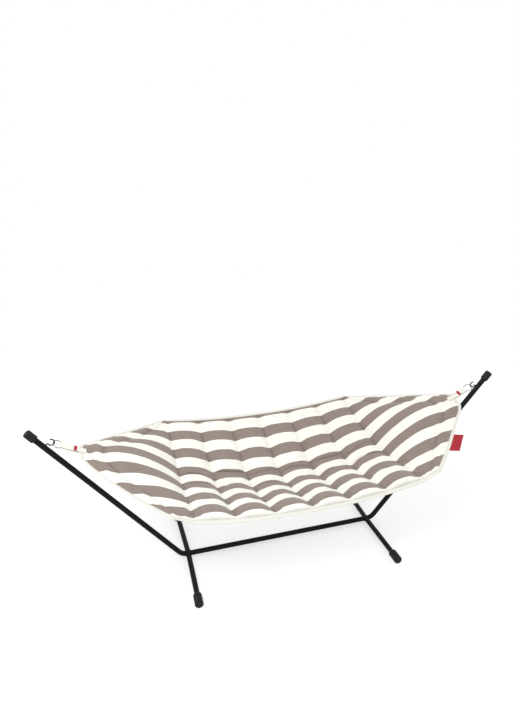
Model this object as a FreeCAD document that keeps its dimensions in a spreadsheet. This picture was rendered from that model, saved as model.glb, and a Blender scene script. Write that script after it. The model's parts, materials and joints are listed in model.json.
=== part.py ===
"""Hammock on a steel stand: a quilted pad hung by two rings from hooks on a five-tube frame.

Frame: +X along the length, +Y to the back, +Z up, origin on the floor under the middle.
Right-hand pieces are described; left-hand ones are the same pieces turned half round about Z.
"""
import FreeCAD, Part
import Sketcher
import math
import os

from FreeCAD import Placement, Rotation, Vector

X_AXIS = Vector(1, 0, 0)
Y_AXIS = Vector(0, 1, 0)
Z_AXIS = Vector(0, 0, 1)
SIDES = {"left": -1, "right": 1}
ENDS = {"front": -1, "back": 1}

# Driving dimensions in millimetres and degrees, then the ones worked out from them.
DIMENSIONS = [
    # steel tubes
    ("tube_radius", "18"),
    ("tube_wall", "1.5"),
    ("bore_radius", "=tube_radius - tube_wall"),
    ("spigot_radius", "=bore_radius - 0.3"),
    ("spigot_bore", "=spigot_radius - tube_wall"),
    ("spigot_reach", "60"),
    ("swage_step", "4"),
    # stand outline
    ("base_half", "742"),
    ("upright_angle", "52"),
    ("upright_reach", "1436"),
    ("corner_bend", "80"),
    ("corner_inner", "585"),
    ("corner_upper", "175"),
    ("bend_tangent", "=corner_bend * tan(upright_angle * 0.5 * 1deg)"),
    ("corner_run", "=base_half - corner_inner - bend_tangent"),
    ("corner_rise", "=corner_upper - bend_tangent"),
    ("upright_run", "=upright_reach - corner_upper"),
    ("spigot_end", "=corner_inner + spigot_reach"),
    ("swage_start", "=corner_inner - swage_step"),
    # cross legs
    ("leg_centre", "700"),
    ("leg_reach", "470"),
    ("leg_splay", "1.4"),
    ("weld_radius", "4.5"),
    # foot caps
    ("foot_radius", "28.5"),
    ("foot_length", "100"),
    ("foot_flat", "12"),
    ("foot_round", "11"),
    ("foot_neck", "20.5"),
    ("foot_bore", "78"),
    ("foot_shoulder", "14"),
    ("foot_start", "=leg_reach - foot_bore"),
    ("axis_height", "=sqrt(foot_radius * foot_radius - foot_flat * foot_flat / 4)"),
    # caps on the uprights
    ("top_cap_radius", "26"),
    ("top_cap_length", "72"),
    ("top_cap_bore", "68"),
    ("top_cap_chamfer", "6"),
    ("top_cap_neck", "20"),
    ("top_cap_face", "=top_cap_radius - top_cap_chamfer"),
    ("top_cap_nose", "=top_cap_length - top_cap_chamfer"),
    # hooks
    ("hook_wire", "4"),
    ("hook_station", "1301"),
    ("hook_shank", "24"),
    ("hook_hump", "8.2"),
    ("hook_curl", "20"),
    ("hump_turn", "93"),
    ("curl_turn", "248"),
    ("hook_hole", "=hook_wire + 0.15"),
    ("hook_place", "=hook_station - corner_upper"),
    # rings
    ("ring_radius", "29.5"),
    ("ring_wire", "2.5"),
    ("ring_play", "0.7"),
    ("pull_angle", "28"),
    ("ring_twist", "18"),
    # straps
    ("strap_width", "44"),
    ("strap_ply", "2.4"),
    ("strap_gap", "6"),
    ("strap_outer", "=strap_gap + strap_ply"),
    ("strap_bight", "15"),
    ("strap_reach", "160"),
    ("label_station", "62"),
    ("label_length", "16"),
    ("label_width", "38"),
    ("label_thick", "1.2"),
    # quilted pad
    ("seam_pitch", "244"),
    ("shoulder_reach", "799"),
    ("swell_reach", "920"),
    ("swell_half_width", "522"),
    ("swell_height", "838"),
    ("swell_depth", "25"),
    ("flare_reach", "1042"),
    ("flare_half_width", "411"),
    ("flare_height", "870"),
    ("flare_depth", "-12"),
    ("border_reach", "1190"),
    ("border_half_width", "253"),
    ("border_height", "922"),
    ("border_depth", "-22"),
    ("pad_half_width", "644"),
    ("pad_waist", "12"),
    ("shoulder_skew", "37"),
    ("shoulder_tilt", "30"),
    ("edge_height", "734"),
    ("edge_rise", "73"),
    ("trough_depth", "195"),
    ("trough_shallowing", "96"),
    ("shoulder_lift", "23"),
    ("seam_thick", "12"),
    ("puff_thick", "78"),
    ("shoulder_thick", "38"),
    ("swell_thick", "62"),
    ("flare_thick", "50"),
    ("border_thick", "14"),
    ("tip_thick", "7"),
    ("root_reach", "214"),
    ("root_half_width", "124"),
    ("root_roll", "8"),
    ("tip_reach", "164"),
    ("tip_half_width", "78"),
    ("tip_depth", "1"),
    ("tip_roll", "12"),
    ("hem_thick", "9"),
    ("hem_share", "0.93"),
    ("tip_hem_share", "0.78"),
    ("full_share", "0.78"),
    ("valley_share", "0.18"),
    ("valley_drop", "0.9"),
    # side tag
    ("tag_length", "57"),
    ("tag_width", "178"),
    ("tag_thick", "1.6"),
    ("tag_clearance", "0.5"),
]


def make_sheet(doc):
    """The table of dimensions, one alias per row."""
    sheet = doc.addObject("Spreadsheet::Sheet", "Dims")
    for row, (alias, content) in enumerate(DIMENSIONS, start=1):
        sheet.set(f"A{row}", alias)
        sheet.set(f"B{row}", content)
        sheet.setAlias(f"B{row}", alias)
    doc.recompute()
    return sheet


doc = FreeCAD.newDocument("HammockOnStand")
sheet = make_sheet(doc)
parts = []


def size(name):
    """A dimension's number; a leading minus sign gives its negative and 0 is zero."""
    if name == "0":
        return 0.0
    if name.startswith("-"):
        return -size(name[1:])
    value = getattr(sheet, name)
    return float(getattr(value, "Value", value))


def bound(name):
    """The expression that refers to a dimension of the sheet."""
    if name == "0":
        return "0"
    if name.startswith("-"):
        return "-Dims." + name[1:]
    return "Dims." + name


def keep(feature, label):
    """Register a finished sub-part under the name of its node."""
    feature.Label = label
    parts.append(feature)
    return feature


def heading(angle_deg):
    """Unit vector in the XZ plane, at an angle from +X towards +Z."""
    angle = math.radians(angle_deg)
    return Vector(math.cos(angle), 0, math.sin(angle))


def facing(side):
    """Turn half round about Z for the left-hand side."""
    return Placement(Vector(0, 0, 0), Rotation(Z_AXIS, 0 if side > 0 else 180))


def turn_in_xz(angle_deg):
    """Rotation that takes +X to a heading in the XZ plane."""
    return Rotation(Y_AXIS, -angle_deg)


def corner_point():
    """Where the axes of the spine and of an upright would meet."""
    return Vector(size("base_half"), 0, size("axis_height"))


def along_upright(distance):
    """A point on the right-hand upright's axis."""
    return corner_point() + heading(size("upright_angle")) * distance


# ---------------------------------------------------------------- sketches and bodies

def new_body(name):
    return doc.addObject("PartDesign::Body", name)


def new_sketch(body, name, plane):
    """A sketch on one of the body's own origin planes."""
    sketch = body.newObject("Sketcher::SketchObject", name)
    for feature in body.Origin.OriginFeatures:
        if feature.Role == plane:
            sketch.AttachmentSupport = [(feature, "")]
    sketch.MapMode = "FlatFace"
    return sketch


def bind(sketch, kind, *where):
    """Add a constraint whose last argument names a dimension, and bind it to the sheet."""
    *place, name = where
    index = sketch.addConstraint(Sketcher.Constraint(kind, *place, size(name)))
    sketch.setExpression(f"Constraints[{index}]", bound(name))


def outline_sketch(body, name, plane, corners):
    """A closed outline of straight lines whose corners are pairs of dimension names."""
    sketch = new_sketch(body, name, plane)
    points = [Vector(size(x), size(y), 0) for x, y in corners]
    count = len(points)
    for index in range(count):
        sketch.addGeometry(Part.LineSegment(points[index], points[(index + 1) % count]), False)
    for index in range(count):
        sketch.addConstraint(Sketcher.Constraint("Coincident", index, 2, (index + 1) % count, 1))
    for index, (x, y) in enumerate(corners):
        bind(sketch, "DistanceX", -1, 1, index, 1, x)
        bind(sketch, "DistanceY", -1, 1, index, 1, y)
    return sketch


def ring_sketch(body, name, plane, outer, inner=None):
    """One circle, or two for a tube wall, centred on the body's origin."""
    sketch = new_sketch(body, name, plane)
    radii = [outer] if inner is None else [outer, inner]
    for index, radius in enumerate(radii):
        sketch.addGeometry(Part.Circle(Vector(0, 0, 0), Z_AXIS, size(radius)), False)
        sketch.addConstraint(Sketcher.Constraint("Coincident", index, 3, -1, 1))
        bind(sketch, "Radius", index, radius)
    return sketch


def revolved_body(name, corners):
    """A body turned about its own X axis from an outline of (along X, radius) corners."""
    body = new_body(name)
    sketch = outline_sketch(body, name + "_outline", "XZ_Plane", corners)
    turned = body.newObject("PartDesign::Revolution", name + "_turned")
    turned.Profile = sketch
    turned.ReferenceAxis = (sketch, ["H_Axis"])
    turned.Angle = 360
    sketch.Visibility = False
    doc.recompute()
    return body


def piped_body(name, profile, path):
    """Sweep a body's profile sketch along its path sketch."""
    body = profile.getParentGeoFeatureGroup()
    pipe = body.newObject("PartDesign::AdditivePipe", name + "_pipe")
    pipe.Profile = profile
    pipe.Spine = path
    pipe.Mode = "Standard"
    doc.recompute()
    return body


def round_edge(body, name, radius, near):
    """Fillet the one edge of the body's tip whose centre is nearest to a point."""
    base = body.Tip
    edges = base.Shape.Edges
    index = min(range(len(edges)), key=lambda i: edges[i].CenterOfMass.distanceToPoint(near))
    fillet = body.newObject("PartDesign::Fillet", name)
    fillet.Base = (base, [f"Edge{index + 1}"])
    fillet.Radius = radius
    doc.recompute()


# ---------------------------------------------------------------- stand

def make_spine():
    """Straight tube with a thinner spigot at each end that plugs into a corner tube."""
    body = revolved_body("spine_tube", [
        ("-spigot_end", "spigot_bore"), ("-swage_start", "spigot_bore"),
        ("-swage_start", "bore_radius"), ("swage_start", "bore_radius"),
        ("swage_start", "spigot_bore"), ("spigot_end", "spigot_bore"),
        ("spigot_end", "spigot_radius"), ("corner_inner", "spigot_radius"),
        ("corner_inner", "tube_radius"), ("-corner_inner", "tube_radius"),
        ("-corner_inner", "spigot_radius"), ("-spigot_end", "spigot_radius"),
    ])
    body.Placement = Placement(Vector(0, 0, size("axis_height")), Rotation())
    keep(body, "spine_tube")


def corner_path(body):
    """Level run, tangent bend, then a run up the upright's direction."""
    path = new_sketch(body, "corner_path", "XZ_Plane")
    bend = size("corner_bend")
    run = size("corner_run")
    angle = math.radians(size("upright_angle"))
    rise = size("corner_rise")
    start = Vector(run, 0, 0)
    end = Vector(run + bend * math.sin(angle), bend * (1 - math.cos(angle)), 0)
    tip = end + Vector(math.cos(angle), math.sin(angle), 0) * rise
    path.addGeometry(Part.LineSegment(Vector(0, 0, 0), start), False)
    circle = Part.Circle(Vector(run, bend, 0), Z_AXIS, bend)
    path.addGeometry(Part.ArcOfCircle(circle, -math.pi / 2, -math.pi / 2 + angle), False)
    path.addGeometry(Part.LineSegment(end, tip), False)
    path.addConstraint(Sketcher.Constraint("Coincident", 0, 1, -1, 1))
    path.addConstraint(Sketcher.Constraint("Horizontal", 0))
    path.addConstraint(Sketcher.Constraint("Tangent", 0, 2, 1, 1))
    path.addConstraint(Sketcher.Constraint("Tangent", 1, 2, 2, 1))
    bind(path, "Distance", 0, "corner_run")
    bind(path, "Radius", 1, "corner_bend")
    bind(path, "Distance", 2, "corner_rise")
    index = path.addConstraint(Sketcher.Constraint("Angle", 2, angle))
    path.setExpression(f"Constraints[{index}]", "Dims.upright_angle * 1deg")
    return path


def make_corner(side_name, side):
    """Bent tube between the spine and an upright."""
    name = side_name + "_corner_tube"
    body = new_body(name)
    wall = ring_sketch(body, name + "_wall", "YZ_Plane", "tube_radius", "bore_radius")
    path = corner_path(body)
    piped_body(name, wall, path)
    place = Placement(Vector(size("corner_inner"), 0, size("axis_height")), Rotation())
    body.Placement = facing(side).multiply(place)
    keep(body, name)


def make_upright(side_name, side):
    """Slanting tube with a spigot at its foot and a hole for the hook in its upper wall."""
    name = side_name + "_upright_tube"
    body = revolved_body(name, [
        ("-spigot_reach", "spigot_bore"), ("swage_step", "spigot_bore"), ("swage_step", "bore_radius"),
        ("upright_run", "bore_radius"), ("upright_run", "tube_radius"), ("0", "tube_radius"),
        ("0", "spigot_radius"), ("-spigot_reach", "spigot_radius"),
    ])
    hole = new_sketch(body, name + "_hole", "XY_Plane")
    hole.addGeometry(Part.Circle(Vector(size("hook_place"), 0, 0), Z_AXIS, size("hook_hole")), False)
    bind(hole, "DistanceX", -1, 1, 0, 3, "hook_place")
    bind(hole, "DistanceY", -1, 1, 0, 3, "0")
    bind(hole, "Radius", 0, "hook_hole")
    before = body.Shape.Volume
    pocket = body.newObject("PartDesign::Pocket", name + "_hook_hole")
    pocket.Profile = hole
    pocket.Type = "ThroughAll"
    pocket.Reversed = True
    doc.recompute()
    if not 0 < before - body.Shape.Volume < 2 * math.pi * size("hook_hole") ** 2 * size("tube_wall"):
        raise RuntimeError("the hook's hole has to go through the upper wall only")
    foot = along_upright(size("corner_upper"))
    place = Placement(foot, turn_in_xz(size("upright_angle")))
    body.Placement = facing(side).multiply(place)
    keep(body, name)


def leg_placement(side, end):
    """Leg axis from the spine's axis outwards, splayed slightly away from the middle."""
    splay = -side * end * size("leg_splay")
    start = Vector(side * size("leg_centre"), 0, size("axis_height"))
    return Placement(start, Rotation(Z_AXIS, splay).multiply(Rotation(X_AXIS, -90 * end)))


def bound_cylinder(name, radius, height, placement):
    cylinder = doc.addObject("Part::Cylinder", name)
    cylinder.setExpression("Radius", bound(radius))
    cylinder.setExpression("Height", bound(height))
    cylinder.Placement = placement
    return cylinder


def cut(name, base, tool):
    result = doc.addObject("Part::Cut", name)
    result.Base = base
    result.Tool = tool
    return result


def make_leg(side_name, side, end_name, end):
    """Half cross tube, its inner end notched to fit round the corner tube."""
    name = f"{side_name}_{end_name}_leg"
    place = leg_placement(side, end)
    outer = bound_cylinder(name + "_outer", "tube_radius", "leg_reach", place)
    bore = bound_cylinder(name + "_bore", "bore_radius", "leg_reach", place)
    across = Placement(Vector(side * size("leg_centre") - size("spigot_reach") * 2, 0,
                              size("axis_height")), Rotation(Y_AXIS, 90))
    notch = bound_cylinder(name + "_notch", "tube_radius", "spigot_reach", across)
    notch.setExpression("Height", "Dims.spigot_reach * 4")
    keep(cut(name, cut(name + "_wall", outer, bore), notch), name)


def weld_bead(side, end):
    """Bead along the notch: two half ellipses, where the equal tubes cross, swept by a circle."""
    radius = size("tube_radius")
    centre = Vector(side * size("leg_centre"), 0, size("axis_height"))
    crown = centre + Z_AXIS * radius
    halves = []
    for lean in (-1, 1):
        ellipse = Part.Ellipse(centre + Vector(lean, end, 0) * radius, crown, centre)
        arc = Part.ArcOfEllipse(ellipse, -math.pi / 2, math.pi / 2).toShape()
        circle = Part.makeCircle(size("weld_radius"), arc.valueAt(arc.FirstParameter),
                                 arc.tangentAt(arc.FirstParameter))
        halves.append(Part.Wire([arc]).makePipeShell([Part.Wire([circle])], True, True))
    return halves[0].fuse(halves[1])


def make_welds(side_name, side):
    """The two beads of one side, outside the tubes that they join."""
    tubes = [Part.makeCylinder(size("tube_radius"), size("leg_reach"), Vector(0, 0, 0), Z_AXIS)
             for _ in ENDS]
    for tube, end in zip(tubes, ENDS.values()):
        tube.Placement = leg_placement(side, end)
    reach = size("corner_run") + size("bend_tangent")
    spine = Part.makeCylinder(size("tube_radius"), reach,
                              Vector(size("corner_inner"), 0, size("axis_height")), X_AXIS)
    spine.Placement = facing(side).multiply(spine.Placement)
    straight = Part.makeCompound(tubes + [spine])
    corner = doc.getObject(side_name + "_corner_tube").Shape
    beads = [weld_bead(side, end).cut(straight).cut(corner) for end in ENDS.values()]
    solids = [max(bead.Solids, key=lambda solid: solid.Volume) for bead in beads]
    welds = doc.addObject("Part::Feature", side_name + "_leg_welds")
    welds.Shape = Part.makeCompound(solids)
    keep(welds, side_name + "_leg_welds")


def make_foot_cap(side_name, side, end_name, end):
    """Bulbous cap over a leg's end, rounded at the front, with a narrow flat underneath."""
    name = f"{side_name}_{end_name}_foot_cap"
    body = revolved_body(name, [
        ("0", "tube_radius"), ("foot_bore", "tube_radius"), ("foot_bore", "0"),
        ("foot_length", "0"), ("foot_length", "foot_radius"), ("foot_shoulder", "foot_radius"),
        ("0", "foot_neck"),
    ])
    round_edge(body, name + "_nose", size("foot_round"), Vector(size("foot_length"), 0, 0))
    flat = outline_sketch(body, name + "_flat", "YZ_Plane", [
        ("-foot_radius", "-foot_radius"), ("foot_radius", "-foot_radius"),
        ("foot_radius", "-axis_height"), ("-foot_radius", "-axis_height"),
    ])
    before = body.Shape.Volume
    shave = body.newObject("PartDesign::Pocket", name + "_shave")
    shave.Profile = flat
    shave.Type = "ThroughAll"
    shave.Reversed = True
    doc.recompute()
    if not body.Shape.Volume < before:
        raise RuntimeError("the foot cap's flat has to remove material")
    splay = -side * end * size("leg_splay")
    direction = Rotation(Z_AXIS, splay).multiply(Rotation(Z_AXIS, 90 * end))
    root = Vector(side * size("leg_centre"), 0, size("axis_height"))
    body.Placement = Placement(root + direction.multVec(X_AXIS) * size("foot_start"), direction)
    keep(body, name)


def make_top_cap(side_name, side):
    """Cap over the top of an upright, chamfered at both ends."""
    name = side_name + "_upright_cap"
    body = revolved_body(name, [
        ("0", "tube_radius"), ("top_cap_bore", "tube_radius"), ("top_cap_bore", "0"),
        ("top_cap_length", "0"), ("top_cap_length", "top_cap_face"),
        ("top_cap_nose", "top_cap_radius"), ("top_cap_chamfer", "top_cap_radius"),
        ("0", "top_cap_neck"),
    ])
    start = along_upright(size("upright_reach") - size("top_cap_bore"))
    place = Placement(start, turn_in_xz(size("upright_angle")))
    body.Placement = facing(side).multiply(place)
    keep(body, name)


# ---------------------------------------------------------------- hooks and rings

def hook_root():
    """Where the hook's shank starts, on the upright's axis."""
    return along_upright(size("hook_station"))


def hook_frame():
    """The hook's own X points square to the upright, up and towards the middle."""
    return Placement(hook_root(), turn_in_xz(size("upright_angle") + 90))


def hook_points():
    """Centres of the hump and of the curl, in the hook's XZ plane."""
    shank = size("hook_shank")
    hump = size("hook_hump")
    turn = math.radians(size("hump_turn"))
    hump_centre = Vector(shank, hump, 0)
    reach = hump + size("hook_curl")
    curl_centre = hump_centre + Vector(math.sin(turn), -math.cos(turn), 0) * reach
    return hump_centre, curl_centre


def make_hook(side_name, side):
    """Round wire: a shank through the tube's wall, a hump, then an open curl that turns back."""
    name = side_name + "_hook"
    body = new_body(name)
    wire = ring_sketch(body, name + "_wire", "YZ_Plane", "hook_wire")
    path = new_sketch(body, name + "_path", "XZ_Plane")
    hump_centre, curl_centre = hook_points()
    hump_turn = math.radians(size("hump_turn"))
    curl_turn = math.radians(size("curl_turn"))
    hump = Part.Circle(hump_centre, Z_AXIS, size("hook_hump"))
    curl = Part.Circle(curl_centre, Z_AXIS, size("hook_curl"))
    joint = hump_turn + math.pi / 2
    path.addGeometry(Part.LineSegment(Vector(0, 0, 0), Vector(size("hook_shank"), 0, 0)), False)
    path.addGeometry(Part.ArcOfCircle(hump, -math.pi / 2, -math.pi / 2 + hump_turn), False)
    path.addGeometry(Part.ArcOfCircle(curl, joint - curl_turn, joint), False)
    path.addConstraint(Sketcher.Constraint("Coincident", 0, 1, -1, 1))
    path.addConstraint(Sketcher.Constraint("Horizontal", 0))
    path.addConstraint(Sketcher.Constraint("Tangent", 0, 2, 1, 1))
    path.addConstraint(Sketcher.Constraint("Tangent", 1, 2, 2, 2))
    bind(path, "Distance", 0, "hook_shank")
    bind(path, "Radius", 1, "hook_hump")
    bind(path, "Radius", 2, "hook_curl")
    piped_body(name, wire, path)
    tip = curl_centre + Vector(math.cos(joint - curl_turn), math.sin(joint - curl_turn), 0) \
        * size("hook_curl")
    round_edge(body, name + "_tip", size("hook_wire") * 0.7, Vector(tip.x, 0, tip.y))
    body.Placement = facing(side).multiply(hook_frame())
    keep(body, name)


def pull_direction():
    """Direction in which the right-hand hook pulls the hammock, seen from the hook."""
    return heading(180 + size("pull_angle"))


def ring_seat():
    """Centre of the ring's wire where it rests inside the hook's curl."""
    _, curl = hook_points()
    centre = hook_frame().multVec(Vector(curl.x, 0, curl.y))
    slack = size("hook_curl") - size("hook_wire") - size("ring_wire") - size("ring_play")
    return centre + pull_direction() * slack


def along_pull(distance):
    """A point on the line of pull, from the ring's seat in the hook towards the pad."""
    return ring_seat() + pull_direction() * distance


def pull_frame(distance, side):
    """Own X along the pull, own Y across; turned about the pull so the back stands higher."""
    roll = Rotation(X_AXIS, -size("ring_twist") * side)
    place = Placement(along_pull(distance), Rotation(Z_AXIS, 180).multiply(
        Rotation(Y_AXIS, size("pull_angle"))).multiply(roll))
    return facing(side).multiply(place)


def make_ring(side_name, side):
    """Welded steel ring, its far side in the strap's loop."""
    ring = doc.addObject("Part::Torus", side_name + "_ring")
    ring.setExpression("Radius1", bound("ring_radius"))
    ring.setExpression("Radius2", bound("ring_wire"))
    ring.Placement = pull_frame(size("ring_radius"), side)
    keep(ring, side_name + "_ring")


def make_strap(side_name, side):
    """Webbing folded round the ring; its two plies run on above and below the pad's tip."""
    name = side_name + "_strap"
    body = new_body(name)
    sketch = new_sketch(body, name + "_fold", "XZ_Plane")
    gap = size("strap_gap")
    outer = gap + size("strap_ply")
    reach = size("strap_reach")
    for height in (gap, outer):
        sketch.addGeometry(Part.LineSegment(Vector(0, height, 0), Vector(reach, height, 0)), False)
        sketch.addGeometry(Part.LineSegment(Vector(0, -height, 0), Vector(reach, -height, 0)), False)
        circle = Part.Circle(Vector(0, 0, 0), Z_AXIS, height)
        sketch.addGeometry(Part.ArcOfCircle(circle, math.pi / 2, math.pi * 3 / 2), False)
    for sign in (1, -1):
        sketch.addGeometry(Part.LineSegment(Vector(reach, sign * gap, 0),
                                            Vector(reach, sign * outer, 0)), False)
    for first in (0, 3):
        sketch.addConstraint(Sketcher.Constraint("Coincident", first + 2, 3, -1, 1))
        sketch.addConstraint(Sketcher.Constraint("Tangent", first, 1, first + 2, 1))
        sketch.addConstraint(Sketcher.Constraint("Tangent", first + 1, 1, first + 2, 2))
    bind(sketch, "Radius", 2, "strap_gap")
    bind(sketch, "Radius", 5, "strap_outer")
    for end, (lower, upper) in enumerate(((0, 3), (1, 4))):
        sketch.addConstraint(Sketcher.Constraint("Coincident", 6 + end, 1, lower, 2))
        sketch.addConstraint(Sketcher.Constraint("Coincident", 6 + end, 2, upper, 2))
        sketch.addConstraint(Sketcher.Constraint("Vertical", 6 + end))
        sketch.addConstraint(Sketcher.Constraint("Horizontal", lower))
        bind(sketch, "DistanceX", -1, 1, lower, 2, "strap_reach")
    webbing = body.newObject("PartDesign::Pad", name + "_webbing")
    webbing.Profile = sketch
    webbing.Midplane = True
    webbing.setExpression("Length", bound("strap_width"))
    doc.recompute()
    start = 2 * size("ring_radius") - size("strap_bight") + size("strap_gap")
    body.Placement = pull_frame(start, side)
    keep(body, name)


def make_strap_label(side_name, side):
    """Small plain label on the strap's upper ply."""
    name = side_name + "_strap_label"
    label = doc.addObject("Part::Box", name)
    label.setExpression("Length", bound("label_length"))
    label.setExpression("Width", bound("label_width"))
    label.setExpression("Height", bound("label_thick"))
    centred = Placement(Vector(0, -size("label_width") / 2, size("strap_outer")), Rotation())
    station = 2 * size("ring_radius") + size("label_station") - size("label_length") / 2
    label.Placement = pull_frame(station, side).multiply(centred)
    keep(label, name)


# ---------------------------------------------------------------- quilted pad

def edge_height(x):
    """Height of the pad's long edges: lowest in the middle, highest at the shoulders."""
    return size("edge_height") + size("edge_rise") * abs(x / size("shoulder_reach")) ** 2.4


def half_width(x):
    return size("pad_half_width") - size("pad_waist") * (x / size("shoulder_reach")) ** 2


def trough(x):
    """Depth of the pad's middle line below its edges."""
    return size("trough_depth") - size("trough_shallowing") * (x / size("shoulder_reach")) ** 2


def section_at(x):
    """Section of the pad at a seam: (x, half width, edge height, depth, roll, skew)."""
    return (x, half_width(x), edge_height(x), trough(x), 0.0, 0.0)


def shoulder_section(end_sign):
    """Widest section of an end panel: its front edge stands further out and higher."""
    x, wide, high, deep, roll, _ = section_at(end_sign * size("shoulder_reach"))
    return (x, wide, high, deep - size("shoulder_lift"), roll, 1.0)


def end_section(name, end_sign, skew):
    """Section of an end panel between its shoulders and its tip, named in the table."""
    return (end_sign * size(name + "_reach"), size(name + "_half_width"), size(name + "_height"),
            size(name + "_depth"), 0.0, skew)


def flat_section(name, end_sign):
    """Nearly flat section on the line of pull, rolled a little with the strap that grips it."""
    centre = along_pull(size(name + "_reach"))
    dip = size("tip_depth")
    return (end_sign * centre.x, size(name + "_half_width"), centre.z + dip, dip,
            size(name + "_roll"), 0.0)


def end_sections(end_sign):
    """Sections of an end panel from its shoulders to its tip."""
    return [shoulder_section(end_sign), end_section("swell", end_sign, 0.75),
            end_section("flare", end_sign, 0.5), end_section("border", end_sign, 0.2),
            flat_section("root", end_sign), flat_section("tip", end_sign)]


def hem_shares(sections):
    """Share of the half width where the hem starts: further in at the narrow tip."""
    inner = size("hem_share")
    tip = size("tip_hem_share")
    return [inner] * (len(sections) - 2) + [(inner + tip) / 2, tip]


def section_point(section, share, lift):
    """A point of a section at a share of its half width, lifted off the middle surface."""
    x, wide, high, deep, roll, skew = section
    knee = size("valley_share")
    knee_drop = size("valley_drop")
    if abs(share) < knee:
        drop = 1 - (1 - knee_drop) * (share / knee) ** 2
    else:
        drop = knee_drop * (1 - abs(share)) / (1 - knee)
    middle = Vector(x, 0, high - deep)
    outward = -share * skew * math.copysign(size("shoulder_skew"), x)
    tilt = -share * skew * size("shoulder_tilt")
    offset = Vector(outward, share * wide, deep * (1 - drop) + lift + tilt)
    return middle + Rotation(X_AXIS, roll).multVec(offset)


def panel_wire(section, share, thick):
    """Outline of a panel's section: full over the flanks and valley, thin at its long edges."""
    knee = size("valley_share")
    full = share * size("full_share")
    shares = (-share, -full, -knee, 0.0, knee, full, share)
    lifts = [thick / 2 if abs(place) < share else size("tip_thick") / 2 for place in shares]
    edges = []
    for side in (1, -1):
        points = [section_point(section, side * place, side * lift)
                  for place, lift in zip(shares, lifts)]
        for first in (0, 1, 4, 5):
            edges.append(Part.LineSegment(points[first], points[first + 1]).toShape())
        edges.append(Part.Arc(points[2], points[3], points[4]).toShape())
        corner = section_point(section, side * share, -side * lifts[-1])
        edges.append(Part.LineSegment(points[-1], corner).toShape())
    return Part.Wire(Part.__sortEdges__(edges))


def hem_wire(section, share, end):
    """Outline of a hem's section: from a share of the half width out to the edge."""
    lift = size("hem_thick") / 2
    corners = [section_point(section, end * reach, height)
               for reach, height in ((share, lift), (1, lift), (1, -lift), (share, -lift))]
    return Part.makePolygon(corners + corners[:1])


def pad_solid(name, wires):
    """A sub-part of the pad, stretched straight between neighbouring sections."""
    feature = doc.addObject("Part::Feature", name)
    feature.Shape = Part.makeLoft(wires, True, True)
    return keep(feature, name)


def make_channel(number):
    """One filled channel between two cross seams, thick in the middle and thin at the seams."""
    pitch = size("seam_pitch")
    start = (number - 4) * pitch
    share = size("hem_share")
    wires = [panel_wire(section_at(start), share, size("seam_thick")),
             panel_wire(section_at(start + pitch / 2), share, size("puff_thick")),
             panel_wire(section_at(start + pitch), share, size("seam_thick"))]
    pad_solid(f"quilted_channel_{number}", wires)


def make_end_panel(side_name, side):
    """Filled panel from the last seam, past the shoulders, to the tip."""
    last_seam = side * 3 * size("seam_pitch")
    sections = end_sections(side)
    names = ("shoulder", "swell", "flare", "border", "tip", "tip")
    wires = [panel_wire(section_at(last_seam), size("hem_share"), size("seam_thick"))]
    for section, share, name in zip(sections, hem_shares(sections), names):
        wires.append(panel_wire(section, share, size(name + "_thick")))
    pad_solid(side_name + "_end_panel", wires)


def make_long_hem(end_name, end):
    """Hem along the front or back edge, from shoulder to shoulder."""
    half_pitch = size("seam_pitch") / 2
    seams = [section_at(step * half_pitch) for step in range(-6, 7)]
    sections = [shoulder_section(-1)] + seams + [shoulder_section(1)]
    wires = [hem_wire(section, size("hem_share"), end) for section in sections]
    pad_solid(end_name + "_hem", wires)


def make_end_hem(side_name, side, end_name, end):
    """Hem along a slanting end edge, from a shoulder to the tip."""
    sections = end_sections(side)
    wires = [hem_wire(section, share, end)
             for section, share in zip(sections, hem_shares(sections))]
    pad_solid(f"{side_name}_{end_name}_end_hem", wires)


def make_side_tag():
    """Plain tag that stands out level from the middle of the right front end hem."""
    edge = [section_point(section, -1, 0) for section in end_sections(1)]
    shoulder, flare, tip = edge[0], edge[2], edge[-1]
    along = (tip - shoulder).normalize()
    outward = Vector(along.y, -along.x, 0).normalize()
    turned = Rotation(outward, along, outward.cross(along), "XYZ")
    corner = flare + outward * size("tag_clearance") - along * size("tag_width") / 2
    tag = doc.addObject("Part::Box", "side_tag")
    tag.setExpression("Length", bound("tag_length"))
    tag.setExpression("Width", bound("tag_width"))
    tag.setExpression("Height", bound("tag_thick"))
    tag.Placement = Placement(corner, turned)
    keep(tag, "side_tag")


# ---------------------------------------------------------------- build and write

def check_model():
    """Stop if any object failed or any sub-part has no sound solid."""
    doc.recompute()
    for feature in doc.Objects:
        if {"Invalid", "Error"} & set(feature.State):
            raise RuntimeError(f"{feature.Name} is {feature.State}")
    for part in parts:
        if part.Shape.isNull() or not part.Shape.isValid() or part.Shape.Volume <= 0:
            raise RuntimeError(f"{part.Label} has no sound shape")


def write_parts():
    os.makedirs("parts", exist_ok=True)
    for part in parts:
        part.Shape.exportStep(f"parts/{part.Label}.step")
        print(f"{part.Label:28s} {part.Shape.Volume / 1000:9.1f} cm3")


def build():
    make_spine()
    for side_name, side in SIDES.items():
        make_corner(side_name, side)
        make_upright(side_name, side)
        make_welds(side_name, side)
        make_top_cap(side_name, side)
        make_hook(side_name, side)
        make_ring(side_name, side)
        make_strap(side_name, side)
        make_strap_label(side_name, side)
        make_end_panel(side_name, side)
        for end_name, end in ENDS.items():
            make_leg(side_name, side, end_name, end)
            make_foot_cap(side_name, side, end_name, end)
            make_end_hem(side_name, side, end_name, end)
    for number in range(1, 7):
        make_channel(number)
    for end_name, end in ENDS.items():
        make_long_hem(end_name, end)
    make_side_tag()
    check_model()
    write_parts()
    print("ring seat", ring_seat())


build()
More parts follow.
